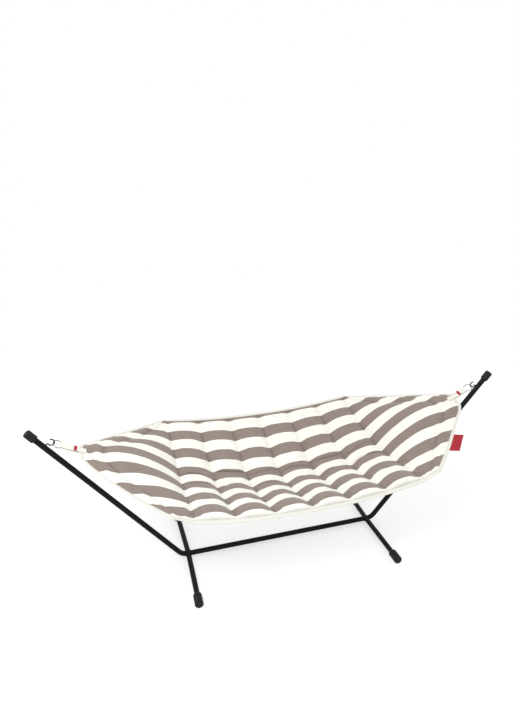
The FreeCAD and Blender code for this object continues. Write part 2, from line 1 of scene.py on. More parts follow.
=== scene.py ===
"""Looks of the hammock on its stand: quilted pad, binding, webbing, labels, stitches and finishes.

Metres in the frame's own axes: +X along the length, +Y to the back, +Z up. Along the pad a place
is its X, and across it a share of the half width: +1 on the back edge and -1 on the front edge.
"""
import bpy
import json
import math

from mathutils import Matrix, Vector, noise


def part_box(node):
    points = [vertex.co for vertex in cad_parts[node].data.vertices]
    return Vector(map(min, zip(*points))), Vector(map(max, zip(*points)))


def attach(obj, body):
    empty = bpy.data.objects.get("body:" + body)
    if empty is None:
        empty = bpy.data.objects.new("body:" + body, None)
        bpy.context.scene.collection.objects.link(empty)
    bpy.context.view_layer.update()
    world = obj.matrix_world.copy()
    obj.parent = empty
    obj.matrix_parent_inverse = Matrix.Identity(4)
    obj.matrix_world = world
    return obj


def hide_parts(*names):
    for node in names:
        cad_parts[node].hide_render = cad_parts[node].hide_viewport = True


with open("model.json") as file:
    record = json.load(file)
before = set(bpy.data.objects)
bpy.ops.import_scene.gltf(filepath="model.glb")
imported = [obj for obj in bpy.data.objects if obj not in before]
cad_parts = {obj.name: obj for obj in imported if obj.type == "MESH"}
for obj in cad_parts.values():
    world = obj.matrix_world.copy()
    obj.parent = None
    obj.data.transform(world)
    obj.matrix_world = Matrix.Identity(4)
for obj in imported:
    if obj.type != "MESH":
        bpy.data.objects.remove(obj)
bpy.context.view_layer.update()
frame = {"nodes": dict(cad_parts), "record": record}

SIDES = {"left": -1, "right": 1}
ENDS = {"front": -1, "back": 1}
MOUNTS = {mount["name"]: Vector(mount["pos_m"]) for mount in frame["record"]["mounts"]}

# Camera: eye, heading from +Y towards +X, angle below the horizon, focal length for a 36 mm side
EYE = Vector((-1.1088, -3.1929, 2.8403))
HEADING = math.radians(16.23)
DOWNWARD = math.radians(22.10)
LENS_MM = 28.1

# Studio: the floor fades into the background's light between two distances from the middle
STUDIO_LIGHT = 1.0
SHADOW_FADE = 0.6
FLOOR_HALF = 60
FLOOR_FADE = (1.8, 5.5)
LAMP_AIM = (0, 0, 0.7)

# Pad: the seams and the width come from the frame's solids, the rest is its hung shape
CHANNELS = 6
FIRST_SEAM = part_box("quilted_channel_1")[0].x
SEAM_PITCH = (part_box("quilted_channel_6")[1].x - FIRST_SEAM) / CHANNELS
LAST_SEAM = FIRST_SEAM + CHANNELS * SEAM_PITCH
HALF_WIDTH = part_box("back_hem")[1].y
PAD_WAIST = 0.012
SHOULDER = 0.799
FRONT_SKEW = 0.037
BACK_SKEW = 0.052
SHOULDER_TILT = 0.030
BACK_TILT = 0.020
BACK_DIP = 0.010
EDGE_HEIGHT = 0.734
EDGE_RISE = 0.073
TROUGH = 0.195
TROUGH_SHALLOWING = 0.096
TIP_HALF = 0.081
TIP_REACH = 1.336
TIP_ROUND = 0.036
TIP_CROWN = 0.008
RIGHT_CORNER = 0.018
TIP_HEIGHT = 0.987
FLARE_HALF = 0.411
GRIP_REACH = 0.11
GRIP_HALF = 0.035
GRIP_FADE = 0.07
BORDER = 0.14
BORDER_SHARE = 0.35
BORDER_LIMIT = 0.7
HEM_SPAN = 1.35
HEM_LIMIT = 0.4
SKEW_POWER = 1.6
EDGE_POWER = 2.4
VALLEY_SOFTNESS = 0.12
VALLEY_POWER = 0.6

# End edges: how X and height fall off from the tip, evenly and then with the width
REACH_SLOPE = 0.894
REACH_CURVE = 0.365
HEIGHT_SLOPE = 0.355
HEIGHT_CURVE = 0.127

# Filling
CHANNEL_RISE = 0.035
RISE_LEAN = 0.010
UNDER_SHARE = 0.8
PANEL_RISE_SHARE = 0.065
PANEL_BULGE = 0.047
BORDER_RISE = 0.011
SEAM_HALF = 0.0016
FRONT_ROLL = 0.075
BACK_ROLL = 0.070
BACK_THINNING = 0.5
UNDER_ROLL = 0.110

# Simulation of the filling
PRESSURE = 4.0
SLACK = -0.02
FRAMES = 14
PUFF_LIMIT = 0.006

# Lengthwise creases in the valley: for each channel, (share across, strength) of its two creases
CREASES = (
    ((0.02, 0.9), (-0.18, 0.5)),
    ((0.13, 1.0), (-0.16, 0.9)),
    ((0.09, 0.5), (-0.19, 0.6)),
    ((0.07, 0.6), (-0.15, 0.5)),
    ((0.10, 0.7), (-0.18, 0.5)),
    ((0.06, 0.5), (-0.17, 1.0)),
)
CREASE_DEPTH = 0.030
CREASE_HALF = 0.0085

# Stripes across the pad, counted from the back, and how far their boundaries waver
STRIPE_SHARE = 0.153
STRIPE_START = 1.071
STRIPE_SWAY = (0.0035, 0.020)

# Binding tape folded over the pad's outline
HEM = 0.023
HEM_DROOP = 0.013
TAPE_HALF = 0.0030
TAPE_THICK = 0.0014

# Webbing, rings and labels
RING_RADIUS = 0.0295
STRAP_HALF = 0.022
STRAP_PLY = 0.0024
STRAP_END = 0.208
STRAP_SWELL = 0.06
STRAP_NARROWING = 0.98
STRAP_LABELS = {"left": 0.137, "right": 0.114}
STRAP_ROLLS = (math.radians(18), math.radians(10))
LABEL_SIZE = (0.019, 0.043)
TAG_SIZE = (0.066, 0.178)
LABEL_THICK = 0.0012

# Grid of the pad
VALLEY_SHARE = 0.3
VALLEY_ROWS = 64
FLANK_ROWS = 34
CHANNEL_COLUMNS = 20
PANEL_COLUMNS = 34
BORDER_COLUMNS = 10
HEM_COLUMNS = 2

STITCH_PITCH = 0.008
STITCH_LENGTH = 0.0055
STITCH_RADIUS = 0.0006

# Painted shade: how much the hems' grooves darken the cloth's colour, how far from a hem or seam it
# reaches, and the darkest it may make the cloth
HEM_PAINTED_SHADE = {"front": 4.0, "back": 0.5}
HEM_SHADE_REACH = 0.005
SEAM_REACH = 0.035
DARKEST = 0.15

# Colours
TAUPE = (0.205, 0.163, 0.142, 1)
OFF_WHITE = (0.70, 0.69, 0.635, 1)
WEBBING_CREAM = (0.68, 0.66, 0.60)
TAPE_CREAM = (0.60, 0.592, 0.54)
THREAD_CREAM = (0.58, 0.56, 0.50)
LABEL_RED = (0.30, 0.012, 0.022)
COAT_BLACK = (0.004, 0.0045, 0.005)
HOOK_BLACK = (0.004, 0.004, 0.004)
CAP_BLACK = (0.006, 0.006, 0.0065)
ZINC_GREY = (0.20, 0.20, 0.20)


# ---------------------------------------------------------------- small helpers

def smooth(value):
    """Ease from 0 to 1 with level ends."""
    value = min(max(value, 0.0), 1.0)
    return value * value * (3 - 2 * value)


def mix(a, b, share):
    return a + (b - a) * share


def spread(start, end, count, power=1.0):
    """Values from start up to, but not including, end; a power above 1 crowds them at the start."""
    return [mix(start, end, (index / count) ** power) for index in range(count)]


def mesh_object(name, points, faces):
    """A mesh object with smooth faces, linked to the scene."""
    mesh = bpy.data.meshes.new(name)
    mesh.from_pydata([tuple(point) for point in points], [], faces)
    mesh.validate()
    mesh.shade_smooth()
    piece = bpy.data.objects.new(name, mesh)
    bpy.context.scene.collection.objects.link(piece)
    return piece


def apply_modifiers(piece):
    """Replace the piece's mesh by its evaluated one, so that no modifier is left."""
    graph = bpy.context.evaluated_depsgraph_get()
    done = bpy.data.meshes.new_from_object(piece.evaluated_get(graph))
    piece.modifiers.clear()
    piece.data = done


def subdivide(piece, levels):
    modifier = piece.modifiers.new("finer", "SUBSURF")
    modifier.levels = levels
    modifier.render_levels = levels
    apply_modifiers(piece)


def attribute(piece, name, values):
    """Store one vector per vertex for the materials to read."""
    data = piece.data.attributes.new(name, "FLOAT_VECTOR", "POINT")
    data.data.foreach_set("vector", [number for value in values for number in value])


def strip(name, rows, thickness):
    """A sheet through rows of points, thickened evenly to both sides and rounded a little.

    Its attribute "cloth" holds metres along the rows' order and metres across each row.
    """
    width = len(rows[0])
    points = [point for row in rows for point in row]
    faces = [(i * width + j, i * width + j + 1, (i + 1) * width + j + 1, (i + 1) * width + j)
             for i in range(len(rows) - 1) for j in range(width - 1)]
    piece = mesh_object(name, points, faces)
    cloth = []
    along = 0.0
    middle = width // 2
    for number, row in enumerate(rows):
        if number:
            along += (row[middle] - rows[number - 1][middle]).length
        across = 0.0
        for j, point in enumerate(row):
            across += (point - row[j - 1]).length if j else 0.0
            cloth.append((along, across, 0.0))
    attribute(piece, "cloth", cloth)
    modifier = piece.modifiers.new("thicker", "SOLIDIFY")
    modifier.thickness = thickness
    modifier.offset = 0
    modifier.use_even_offset = True
    apply_modifiers(piece)
    subdivide(piece, 1)
    piece.data.shade_smooth()
    return piece


def finish_piece(piece, material, slot, *nodes):
    """A piece of the hammock: its material, body and the solids it stands for. The slot is not used.
    """
    piece.data.materials.append(material)
    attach(piece, "hammock")
    if nodes:
        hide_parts(*nodes)


# ---------------------------------------------------------------- camera, floor and light

def make_camera():
    data = bpy.data.cameras.new("camera")
    data.sensor_width = 36
    data.lens = LENS_MM
    camera = bpy.data.objects.new("camera", data)
    camera.location = EYE
    camera.rotation_euler = (math.pi / 2 - DOWNWARD, 0, -HEADING)
    bpy.context.scene.collection.objects.link(camera)
    bpy.context.scene.camera = camera


def make_floor():
    """Plain pale floor that turns into the studio's own light far from the object."""
    half = FLOOR_HALF
    corners = [(-half, -half, 0), (half, -half, 0), (half, half, 0), (-half, half, 0)]
    floor = mesh_object("floor", corners, [(0, 1, 2, 3)])
    material = new_material("floor_paint", (0.95, 0.95, 0.95), 0.9)
    shader = shader_of(material)
    shader.inputs["Specular IOR Level"].default_value = 0.0
    position = node(material, "ShaderNodeNewGeometry")
    distance = node(material, "ShaderNodeVectorMath", operation="LENGTH")
    link(material, position.outputs["Position"], distance.inputs[0])
    far = node(material, "ShaderNodeMapRange", interpolation_type="SMOOTHSTEP")
    far.inputs["From Min"].default_value = FLOOR_FADE[0]
    far.inputs["From Max"].default_value = FLOOR_FADE[1]
    far.inputs["To Min"].default_value = SHADOW_FADE
    link(material, distance.outputs["Value"], far.inputs["Value"])
    glow = node(material, "ShaderNodeEmission")
    glow.inputs["Strength"].default_value = STUDIO_LIGHT
    both = node(material, "ShaderNodeMixShader")
    link(material, far.outputs["Result"], both.inputs[0])
    link(material, shader.outputs[0], both.inputs[1])
    link(material, glow.outputs[0], both.inputs[2])
    link(material, both.outputs[0], material.node_tree.nodes["Material Output"].inputs["Surface"])
    floor.data.materials.append(material)


def make_light(name, place_at, width, power):
    """Large soft lamp at a point, turned towards the pad."""
    data = bpy.data.lights.new(name, "AREA")
    data.shape = "DISK"
    data.size = width
    data.energy = power
    lamp = bpy.data.objects.new(name, data)
    lamp.location = place_at
    towards = Vector(LAMP_AIM) - Vector(place_at)
    lamp.rotation_euler = towards.to_track_quat("-Z", "Y").to_euler()
    bpy.context.scene.collection.objects.link(lamp)


def make_studio():
    world = bpy.data.worlds.new("studio")
    world.use_nodes = True
    background = world.node_tree.nodes["Background"]
    background.inputs["Color"].default_value = (1, 1, 1, 1)
    background.inputs["Strength"].default_value = STUDIO_LIGHT
    bpy.context.scene.world = world
    bpy.context.scene.view_settings.view_transform = "Standard"
    make_light("key_light", (-2.2, -2.4, 4.8), width=2.0, power=175)
    make_light("back_light", (2.5, 3.2, 3.8), width=3.0, power=30)


# ---------------------------------------------------------------- line of pull

def pull_axes(side_name):
    """Where a ring sits in its hook, the direction it pulls the pad, and up square to that."""
    seat = MOUNTS[side_name + "_hook_seat"]
    low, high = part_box(side_name + "_ring")
    pull = ((low + high) / 2 - seat).normalized()
    up = (Vector((0, 0, 1)) - pull * pull.z).normalized()
    return seat, pull, up


PULLS = {side: pull_axes(side_name) for side_name, side in SIDES.items()}


def strap_point(side, distance, across, lift):
    """A place on a strap: the back edge stands higher, most of all at the ring."""
    seat, pull, up = PULLS[side]
    roll = mix(*STRAP_ROLLS, smooth((distance - 2 * RING_RADIUS) / 0.12))
    sideways = Vector((0, math.cos(roll), 0)) + up * math.sin(roll)
    upward = up * math.cos(roll) - Vector((0, math.sin(roll), 0))
    return seat + pull * distance + sideways * across + upward * lift


# ---------------------------------------------------------------- shape of the pad

def half_width(x):
    return HALF_WIDTH - PAD_WAIST * min(1.0, (x / SHOULDER) ** 2)


def valley(across):
    """0 on the middle line to 1 on the edges: straight flanks that meet in a rounded valley."""
    soft = VALLEY_SOFTNESS ** 2
    low = soft ** VALLEY_POWER
    high = (1 + soft) ** VALLEY_POWER
    return ((across ** 2 + soft) ** VALLEY_POWER - low) / (high - low)


def hem_droop(x, across):
    """The front hem turns down a little instead of following the flank."""
    hem = HEM / half_width(x)
    past = max(0.0, -across - (1 - hem)) / hem
    return HEM_DROOP * past


def hung_height(x, across):
    """Height of the pad's middle surface between the last seams."""
    share = x / SHOULDER
    edge = EDGE_HEIGHT + EDGE_RISE * abs(share) ** EDGE_POWER
    depth = TROUGH - TROUGH_SHALLOWING * share ** 2
    dip = BACK_DIP * share ** 6 * max(0.0, across) ** SKEW_POWER
    return edge - depth * (1 - valley(across)) - hem_droop(x, across) - dip


def past_tip(y):
    """How far a place lies beyond the blunt tip's corner, which is rounded."""
    beyond = y - TIP_HALF
    return (beyond + math.hypot(beyond, TIP_ROUND)) / 2


def end_reach(across, side):
    """X of the end edge, measured outwards, where a stripe meets it."""
    y = abs(across) * half_width(SHOULDER)
    past = past_tip(y)
    reach = TIP_REACH + TIP_CROWN - REACH_SLOPE * past - REACH_CURVE * past * (y - FLARE_HALF)
    skew = -FRONT_SKEW if across < 0 else BACK_SKEW
    if side > 0 and across < 0:
        reach += RIGHT_CORNER * math.exp(-((y - 1.6 * TIP_HALF) / TIP_HALF) ** 2)
    return reach - skew * abs(across) ** SKEW_POWER


def end_height(across):
    """Height of the end edge, where a stripe meets it."""
    y = abs(across) * half_width(SHOULDER)
    past = past_tip(y)
    height = TIP_HEIGHT - HEIGHT_SLOPE * past + HEIGHT_CURVE * past * (y - FLARE_HALF)
    tilt = SHOULDER_TILT if across < 0 else -BACK_TILT
    return height + tilt * abs(across) ** SKEW_POWER


def hem_reach(across, side):
    """X where the hem of the end edge begins."""
    reach = end_reach(across, side)
    return reach - min(HEM_SPAN * HEM, HEM_LIMIT * (reach - LAST_SEAM))


def border_reach(across, side):
    """X of the seam that runs beside the end edge."""
    reach = end_reach(across, side)
    free = reach - LAST_SEAM
    wanted = BORDER_SHARE * free + HEM_SPAN * HEM * abs(across)
    return reach - min(BORDER, wanted, BORDER_LIMIT * free)


def grip(x, y):
    """1 where the strap holds the pad's tip in its own plane, 0 away from it."""
    along = smooth((abs(x) - (TIP_REACH - GRIP_REACH)) / GRIP_FADE)
    return along * (1 - smooth((abs(y) - GRIP_HALF) / GRIP_FADE))


def grip_height(x, y):
    """Height of the strap's middle plane above a place."""
    seat, pull, _ = PULLS[math.copysign(1, x)]
    along = (x - seat.x) / pull.x
    return seat.z + pull.z * along + y * math.tan(STRAP_ROLLS[1]) / abs(pull.x)


def middle_point(x, across):
    """Point of the pad's middle surface."""
    y = across * half_width(x)
    if abs(x) <= LAST_SEAM:
        return Vector((x, y, hung_height(x, across)))
    share = (abs(x) - LAST_SEAM) / (end_reach(across, x) - LAST_SEAM)
    start = hung_height(LAST_SEAM, across)
    bulge = PANEL_BULGE * math.cos(math.pi / 2 * min(1.0, abs(across) / 0.8)) ** 2
    profile = max(0.0, 4 * share * (1 - share)) ** 1.3
    height = mix(start, end_height(across), share) + bulge * profile
    held = grip(x, y)
    if held:
        height = mix(height, grip_height(x, y), held)
    return Vector((x, y, height))


def arch(place_in, start, end):
    """0 at both ends of a stretch, 1 in its middle."""
    span = 2 * (place_in - start) / (end - start) - 1
    return max(0.0, 1 - span * span) ** 0.85


def edge_roll(x, across, layer):
    """The filling thins to nothing towards the hems: round above, flat underneath."""
    inside = (1 - abs(across)) * half_width(x) - HEM
    if layer < 0:
        return smooth(0.5 * inside / UNDER_ROLL) * 2 if inside < UNDER_ROLL else 1.0
    roll = FRONT_ROLL if across < 0 else BACK_ROLL
    return math.sqrt(max(0.0, 1 - max(0.0, 1 - inside / roll) ** 2))


def creases(x, across):
    """Depth of the lengthwise creases in the valley of each channel."""
    if abs(x) > LAST_SEAM:
        return 0.0
    number = min(CHANNELS - 1, int((x - FIRST_SEAM) / SEAM_PITCH))
    start = FIRST_SEAM + number * SEAM_PITCH
    fade = arch(x, start, start + SEAM_PITCH) ** 0.5
    depth = 0.0
    for order, (share, strength) in enumerate(CREASES[number]):
        bend = 0.018 * math.sin(5 * (x - start) / SEAM_PITCH + 2 * number + 3 * order)
        offset = (across - share - bend) * half_width(x) / CREASE_HALF
        notch = math.exp(-offset * offset) - 0.25 * math.exp(-(offset / 2.6) ** 2)
        depth += CREASE_DEPTH * strength * fade * notch
    return depth


def filling(x, across, layer):
    """Half the pad's thickness at a place, on its upper (1) or under (-1) side."""
    reach = abs(x)
    roll = edge_roll(x, across, layer)
    share = 1.0 if layer > 0 else UNDER_SHARE
    if reach <= LAST_SEAM:
        number = min(CHANNELS - 1, int((x - FIRST_SEAM) / SEAM_PITCH))
        start = FIRST_SEAM + number * SEAM_PITCH
        rise = (CHANNEL_RISE - RISE_LEAN * across) * arch(x, start, start + SEAM_PITCH)
        thinning = 1 - BACK_THINNING * smooth((across - 0.55) / 0.4)
        return rise * roll * share * thinning
    border = border_reach(across, x)
    if reach <= border:
        rise = PANEL_RISE_SHARE * (border - LAST_SEAM)
        return rise * arch(reach, LAST_SEAM, border) * roll * share
    hem = hem_reach(across, x)
    if reach <= hem:
        free = 1 - grip(x, across * half_width(x))
        return BORDER_RISE * arch(reach, border, hem) * roll * free
    return 0.0


def pad_normal(x, across):
    """Unit normal of the middle surface, on its upper side."""
    step = 0.004
    inner = max(-1.0, across - step)
    outer = min(1.0, across + step)
    ahead = middle_point(x + step, across) - middle_point(x - step, across)
    sideways = middle_point(x, outer) - middle_point(x, inner)
    return ahead.cross(sideways).normalized()


def columns(across):
    """X of every column of the grid along one row, with a column on each seam."""
    ends = []
    for side in SIDES.values():
        border = border_reach(across, side)
        hem = hem_reach(across, side)
        outer = spread(end_reach(across, side), hem, HEM_COLUMNS)
        outer += spread(hem, border, BORDER_COLUMNS) + spread(border, LAST_SEAM, PANEL_COLUMNS)
        ends.append([side * x for x in outer])
    middle = spread(FIRST_SEAM, LAST_SEAM, CHANNELS * CHANNEL_COLUMNS) + [LAST_SEAM]
    return ends[0] + middle + ends[1][::-1]


def seam_columns():
    """Numbers of the grid's columns that are sewn through."""
    border = HEM_COLUMNS + BORDER_COLUMNS
    first = border + PANEL_COLUMNS
    seams = [first + i * CHANNEL_COLUMNS for i in range(CHANNELS + 1)]
    end = {*range(HEM_COLUMNS + 1), border}
    last_column = first + seams[-1]
    return end | set(seams) | {last_column - column for column in end}


def row_shares():
    """Shares across the pad of the grid's rows: finest in the valley and beside the hems."""
    hem = 1 - HEM / HALF_WIDTH
    front = spread(-1, -hem, 2) + spread(-hem, -VALLEY_SHARE, FLANK_ROWS, 1.4)
    valley_rows = spread(-VALLEY_SHARE, VALLEY_SHARE, VALLEY_ROWS) + [VALLEY_SHARE]
    return front + valley_rows + [-share for share in front[::-1]]


def stripe_place(x, across):
    """Share that decides the stripe: the boundaries waver a little, most of all at the ends."""
    past = smooth((abs(x) - border_reach(across, x) + 0.05) / 0.06)
    sway = mix(*STRIPE_SWAY, past)
    return across + sway * noise.noise(Vector((x * 16, across * 7, 3.7)))


def seam_closeness(x, across):
    """1 on a cross seam, falling to 0 away from it."""
    if abs(x) <= LAST_SEAM:
        step = (x - FIRST_SEAM) / SEAM_PITCH
        away = abs(step - round(step)) * SEAM_PITCH
    else:
        border = border_reach(across, x)
        away = min(abs(x) - LAST_SEAM, abs(border - abs(x)))
    return math.exp(-away / SEAM_REACH)


def painted_groove_shade(x, across, layer):
    """Painted shade: how far the cloth's colour is darkened where shade falls, in the grooves of
    seams and hems and in deep creases.
    """
    crease = min(1.0, max(0.0, creases(x, across)) / CREASE_DEPTH) ** 1.5 if layer > 0 else 0.0
    inside = (1 - abs(across)) * half_width(x) - HEM
    # The hems' painted shade is much stronger on the front edge than on the back edge.
    hem_shade_strength = HEM_PAINTED_SHADE["front" if across < 0 else "back"]
    hem = hem_shade_strength * math.exp(-max(0.0, inside) / HEM_SHADE_REACH)
    return max(0.6 * seam_closeness(x, across) ** 7, crease, hem)


def make_pad():
    """Two layers of cloth that meet along the outline, with the filling between them."""
    grid = [[(x, share) for x in columns(share)] for share in row_shares()]
    last_row = len(grid) - 1
    last_column = len(grid[0]) - 1
    sewn = seam_columns()
    points, cloth, stripe, dents, pins, index = [], [], [], [], [], {}
    for layer in (1, -1):
        for row in range(last_row + 1):
            for column in range(last_column + 1):
                on_rim = row in (0, last_row) or column in (0, last_column)
                if on_rim and layer < 0:
                    index[layer, row, column] = index[1, row, column]
                    continue
                x, share = grid[row][column]
                half = 0.0 if on_rim else max(SEAM_HALF, filling(x, share, layer))
                index[layer, row, column] = len(points)
                if on_rim or column in sewn or row in (1, 2, last_row - 2, last_row - 1):
                    pins.append(len(points))
                up = pad_normal(x, share)
                points.append(middle_point(x, share) + up * half * layer)
                dents.append(up * -creases(x, share) if layer > 0 else Vector())
                cloth.append((x, share * half_width(x), seam_closeness(x, share)))
                # The stripe's third value is painted shade for the grooves and creases.
                stripe.append((stripe_place(x, share), layer, painted_groove_shade(x, share, layer)))
    faces = []
    for layer in (1, -1):
        for row in range(last_row):
            for column in range(last_column):
                corners = ((row, column), (row, column + 1), (row + 1, column + 1), (row + 1, column))
                face = tuple(index[layer, r, c] for r, c in corners)
                faces.append(face if layer > 0 else face[::-1])
    pad = mesh_object("quilted_pad", points, faces)
    attribute(pad, "cloth", cloth)
    attribute(pad, "stripe", stripe)
    return pad, pins, dents


def press_creases(pad, dents):
    """Push the upper cloth down along its creases."""
    for vertex, dent in zip(pad.data.vertices, dents):
        vertex.co += dent


def puff_up(pad, pins):
    """Inflate the cloth between its seams by simulation, within a few millimetres."""
    before = [vertex.co.copy() for vertex in pad.data.vertices]
    pad.vertex_groups.new(name="sewn").add(pins, 1.0, "REPLACE")
    modifier = pad.modifiers.new("cloth", "CLOTH")
    settings = modifier.settings
    settings.quality = 4
    settings.vertex_group_mass = "sewn"
    settings.use_pressure = True
    settings.uniform_pressure_force = PRESSURE
    settings.shrink_min = SLACK
    settings.effector_weights.gravity = 0
    modifier.point_cache.frame_start = 1
    modifier.point_cache.frame_end = FRAMES
    for number in range(1, FRAMES + 1):
        bpy.context.scene.frame_set(number)
    apply_modifiers(pad)
    bpy.context.scene.frame_set(1)
    for vertex, start in zip(pad.data.vertices, before):
        moved = vertex.co - start
        if moved.length > PUFF_LIMIT:
            vertex.co = start + moved.normalized() * PUFF_LIMIT


# ---------------------------------------------------------------- binding tape

def edge_frame(x, across, along):
    """A place on the outline, inwards along the cloth, and up off the cloth."""
    up = pad_normal(x, across)
    inward = up.cross(along).normalized()
    return middle_point(x, across), inward, along.cross(inward).normalized()


def fold_profile():
    """(Inwards, up) places of the tape, from its upper inner edge round the outline."""
    upper = [(HEM + 0.001, SEAM_HALF + 0.0008), (0.013, TAPE_HALF), (0.005, TAPE_HALF + 0.0004),
             (0.0, 0.0024)]
    lower = [(inward, -up) for inward, up in upper[::-1]]
    return upper + [(-0.0018, 0.0)] + lower


def tape(name, places, *nodes):
    """Tape folded over the outline that runs through the places (x, share across)."""
    path = [middle_point(x, across) for x, across in places]
    rows = []
    for number, (x, across) in enumerate(places):
        ahead = path[min(number + 1, len(path) - 1)] - path[max(number - 1, 0)]
        centre, inward, up = edge_frame(x, across, ahead.normalized())
        if up.z < 0:
            up = -up
        if inward.y * across > 0 or (abs(across) < 0.02 and inward.x * x > 0):
            inward = -inward
        swell = 1 + 0.10 * noise.noise(Vector((x * 30, across * 25, 1.3)))
        rows.append([centre + inward * reach + up * lift * swell for reach, lift in fold_profile()])
    piece = strip(name, rows, TAPE_THICK)
    finish_piece(piece, TAPE_CLOTH, "hem_fabric", *nodes)
    return rows


def long_edge(end):
    """Places along the front or back edge, from shoulder to shoulder."""
    count = 180
    left, right = -end_reach(end, -1), end_reach(end, 1)
    return [(mix(left, right, i / count), end) for i in range(count + 1)]


def end_edge(side, end):
    """Places along one slanting end edge, from its shoulder to the middle of the tip."""
    count = 110
    shares = [end * mix(1.0, 0.004, (i / count) ** 0.9) for i in range(count + 1)]
    return [(side * end_reach(share, side), share) for share in shares]


def make_binding():
    """Tape round the whole outline, in the same lengths as the frame's hems."""
    seams = []
    for end_name, end in ENDS.items():
        seams.append(tape(end_name + "_tape", long_edge(end), end_name + "_hem"))
        for side_name, side in SIDES.items():
            name = f"{side_name}_{end_name}_end"
            seams.append(tape(name + "_tape", end_edge(side, end), name + "_hem"))
    return seams


# ---------------------------------------------------------------- webbing, labels and tag

def strap_gap(distance):
    """Half the space between the strap's plies, measured to their middles."""
    return mix(0.0042, 0.0062, smooth((distance - 0.10) / 0.05))


def strap_path(across):
    """(Distance, lift) of the webbing's middle: above, round the ring's far wire, and below."""
    fold = RING_RADIUS + math.sqrt(RING_RADIUS ** 2 - across ** 2)
    upper = [(distance, strap_gap(distance)) for distance in spread(STRAP_END, fold, 26)]
    gap = strap_gap(fold)
    turn = [(fold - gap * math.sin(angle), gap * math.cos(angle))
            for angle in spread(0, math.pi, 8) + [math.pi]]
    lower = [(distance, -lift) for distance, lift in upper[::-1]]
    return upper + turn + lower


def make_strap(side_name, side):
    """Webbing looped through the ring, its ends sewn above and below the pad's tip."""
    count = 12
    lines = []
    for step in range(count + 1):
        across = mix(-STRAP_HALF, STRAP_HALF, step / count)
        swell = 1 + STRAP_SWELL * math.exp(-((step / count - 0.5) / 0.3) ** 2)
        lines.append([strap_point(side, distance, across, lift * swell)
                      for distance, lift in strap_path(across * STRAP_NARROWING)])
    rows = [list(row) for row in zip(*lines)]
    piece = strip(side_name + "_webbing", rows, STRAP_PLY)
    finish_piece(piece, WEBBING, "strap_webbing", side_name + "_strap")


def make_strap_label(side_name, side):
    """Small plain label sewn across the strap's upper ply."""
    length, width = LABEL_SIZE
    middle = STRAP_LABELS[side_name]
    lift = strap_gap(middle) + STRAP_PLY / 2 + LABEL_THICK / 2 + 0.0006
    rows = []
    for i in range(9):
        along = mix(-1, 1, i / 8)
        sag = 0.0009 * (1 - along * along)
        rows.append([strap_point(side, middle + along * length / 2, mix(-1, 1, j / 12) * width / 2,
                                 lift + sag * (1 - 0.5 * (j / 6 - 1) ** 2)) for j in range(13)])
    piece = strip(side_name + "_label", rows, LABEL_THICK)
    finish_piece(piece, LABEL_CLOTH, "label_fabric", side_name + "_strap_label")


def make_side_tag():
    """Plain tag held in the right front end hem, its free edge standing up a little."""
    reach, width = TAG_SIZE
    share = -FLARE_HALF / half_width(SHOULDER)
    place_at = middle_point(end_reach(share, 1), share)
    shoulder = middle_point(end_reach(-1, 1), -1)
    tip = middle_point(end_reach(-0.12, 1), -0.12)
    along = (tip - shoulder).normalized()
    outward = Vector((along.y, -along.x, 0)).normalized()
    rows = []
    for i in range(25):
        step = mix(-0.5, 0.5, i / 24)
        row = []
        for j in range(13):
            out = j / 12
            wave = 0.0025 * out * math.sin(9 * step + 1)
            droop = Vector((0, 0, wave + 0.014 * out))
            row.append(place_at + along * step * width + outward * (out * reach - 0.002) + droop)
        rows.append(row)
    piece = strip("side_label", rows, LABEL_THICK)
    finish_piece(piece, LABEL_CLOTH, "label_fabric", "side_tag")


# ---------------------------------------------------------------- stitches

def dash(points, faces, start, end, up):
    """One stitch: a short thread, thin at both ends, half sunk in the cloth."""
    along = (end - start).normalized()
    sideways = along.cross(up).normalized()
    first = len(points)
    for share, thick in ((0.0, 0.25), (0.25, 1.0), (0.75, 1.0), (1.0, 0.25)):
        centre = start.lerp(end, share)
        for a, b in ((1, 0), (0, 1), (-1, 0), (0, -1)):
            points.append(centre + (sideways * a + up * b) * STITCH_RADIUS * thick)
    for ring in range(3):
        low = first + 4 * ring
        for k in range(4):
            nearby = (k + 1) % 4
            faces.append((low + k, low + nearby, low + 4 + nearby, low + 4 + k))
    faces.append((first + 3, first + 2, first + 1, first))
    faces.append((first + 12, first + 13, first + 14, first + 15))


def sew(name, lines, thread, slot):
    """Evenly spaced stitches along lines of (point, up) pairs."""
    points, faces = [], []
    for line in lines:
        travelled = 0.0
        due = 0.0
        for (a, up), (b, _) in zip(line, line[1:]):
            span = (b - a).length
            while due < travelled + span:
                start = a.lerp(b, (due - travelled) / span)
                dash(points, faces, start, start + (b - a).normalized() * STITCH_LENGTH, up)
                due += STITCH_PITCH
            travelled += span
    piece = mesh_object(name, points, faces)
    finish_piece(piece, thread, slot)


def seam_line(x_at, layer):
    """(Point, up) pairs along a cross seam whose X depends on the share across."""
    hem = 1 - HEM / HALF_WIDTH
    line = []
    for step in range(241):
        share = mix(-hem, hem, step / 240)
        up = pad_normal(x_at(share), share) * layer
        line.append((middle_point(x_at(share), share) + up * (SEAM_HALF + 0.0002), up))
    return line


def sew_pad():
    """Stitches on both sides of every cross seam and of the seams beside the end edges."""
    places = [lambda share, x=FIRST_SEAM + i * SEAM_PITCH: x for i in range(CHANNELS + 1)]
    places += [lambda share, side=side: side * border_reach(share, side) for side in SIDES.values()]
    lines = [seam_line(x_at, layer) for x_at in places for layer in (1, -1)]
    sew("pad_stitches", lines, THREAD, "striped_fabric")


def sew_tape(seams):
    """Stitches along both faces of the tape, near its inner edges."""
    lines = []
    for rows in seams:
        for column, beyond in ((1, 0), (-2, -1)):
            line = []
            for row in rows:
                edge = row[column].lerp(row[beyond], 0.6)
                up = (row[column] - row[-1 - column if column > 0 else 1]).normalized()
                line.append((edge + up * (TAPE_THICK / 2 + 0.0001), up))
            lines.append(line)
    sew("tape_stitches", lines, THREAD, "hem_fabric")


